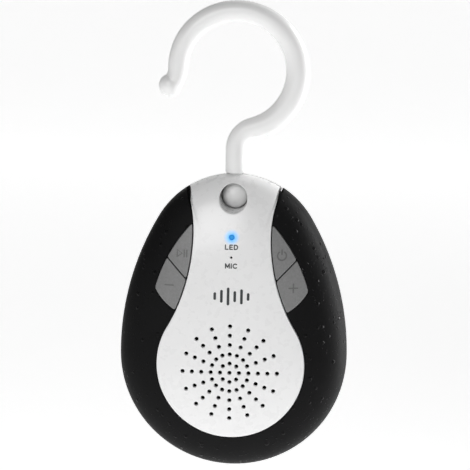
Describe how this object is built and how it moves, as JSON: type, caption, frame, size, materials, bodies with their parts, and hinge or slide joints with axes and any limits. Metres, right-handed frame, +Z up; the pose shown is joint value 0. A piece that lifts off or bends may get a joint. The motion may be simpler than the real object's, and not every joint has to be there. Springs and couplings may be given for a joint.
{
  "type": "shower speaker",
  "caption": "Egg-shaped waterproof wireless speaker with a round grille, four side keys, a status light and a swivelling hook that hangs it from a shower rail.",
  "frame": {"origin": "the hook's seat: the lowest point of the inside of the ring's top, where a rail bears, on the swivel's axis", "axes": "+Z up along the swivel's axis; -Y out of the front grille and +Y out of the flat back; +X to the right as the front is looked at"},
  "size_m": [0.1, 0.039, 0.2056],
  "materials": {
    "white_plastic": "satin",
    "black_soft_touch": "fine soft-touch grain",
    "grey_key": "satin",
    "grey_rubber": "matte",
    "black_rubber": "matte",
    "steel": "bright",
    "bush_plastic": "smooth",
    "circuit_board": "satin",
    "chip": "matte",
    "parts_tan": "satin",
    "clear_blue": "clear",
    "mesh_cloth": "woven",
    "magnet_black": "dull",
    "cone_paper": "matte",
    "spider_cloth": "woven",
    "copper": "enamelled",
    "cell_wrap": "foil",
    "foam": "foam",
    "lead_red": "satin"
  },
  "bodies": {
    "hook": {"hook": "white_plastic"},
    "housing": {"bush_front": "bush_plastic", "bush_rear": "bush_plastic", "front_panel": "white_plastic", "rear_cap": "white_plastic", "front_shell": "black_soft_touch", "back_shell": "black_soft_touch", "case_gasket": "grey_rubber", "case_screws": "steel", "screw_plugs": "black_rubber", "key_seal_right": "grey_rubber", "key_seal_left": "grey_rubber", "tact_switches": "steel", "main_board": "circuit_board", "board_screws": "steel", "radio_module": "steel", "amplifier_chip": "chip", "board_parts": "parts_tan", "status_led": "clear_blue", "light_pipe": "clear_blue", "microphone": "steel", "microphone_boot": "black_rubber", "acoustic_mesh": "mesh_cloth", "driver_gasket": "grey_rubber", "driver_basket": "magnet_black", "driver_magnet": "magnet_black", "driver_top_plate": "steel", "driver_yoke": "steel", "driver_terminals": "parts_tan", "driver_screws": "steel", "surround": "black_rubber", "spider": "spider_cloth", "battery": "cell_wrap", "battery_pad": "foam", "charge_board": "circuit_board", "charge_socket": "steel", "charge_screws": "steel", "flap_pin": "steel", "speaker_leads": "lead_red", "battery_leads": "lead_red", "charge_leads": "lead_red"},
    "key_power": {"key_power": "grey_key", "plunger_power": "chip"},
    "key_answer": {"key_answer": "grey_key", "plunger_answer": "chip"},
    "key_volume_up": {"key_volume_up": "grey_key", "plunger_volume_up": "chip"},
    "key_volume_down": {"key_volume_down": "grey_key", "plunger_volume_down": "chip"},
    "diaphragm": {"cone": "cone_paper", "dust_cap": "cone_paper", "voice_coil": "copper"},
    "port_cover": {"port_flap": "black_rubber", "port_seal": "grey_rubber"}
  },
  "joints": [
    {"name": "hook_swivel", "type": "hinge", "parent": "hook", "child": "housing", "pos_m": [0, 0, -0.07577], "axis": [0, 0, 1], "continuous": true},
    {"name": "power_press", "type": "slide", "parent": "housing", "child": "key_power", "axis": [0, 1, 0], "range_m": [0, 0.0005], "stiffness_N_per_m": 1000},
    {"name": "answer_press", "type": "slide", "parent": "housing", "child": "key_answer", "axis": [0, 1, 0], "range_m": [0, 0.0005], "stiffness_N_per_m": 1000},
    {"name": "volume_up_press", "type": "slide", "parent": "housing", "child": "key_volume_up", "axis": [0, 1, 0], "range_m": [0, 0.0005], "stiffness_N_per_m": 1000},
    {"name": "volume_down_press", "type": "slide", "parent": "housing", "child": "key_volume_down", "axis": [0, 1, 0], "range_m": [0, 0.0005], "stiffness_N_per_m": 1000},
    {"name": "cone_stroke", "type": "slide", "parent": "housing", "child": "diaphragm", "axis": [0, 1, 0], "range_m": [-0.001, 0.001], "stiffness_N_per_m": 900, "deforming": ["surround", "spider"]},
    {"name": "port_flap_hinge", "type": "hinge", "parent": "housing", "child": "port_cover", "pos_m": [0, 0.0169, -0.11237], "axis": [1, 0, 0], "range_deg": [0, 95]}
  ]
}
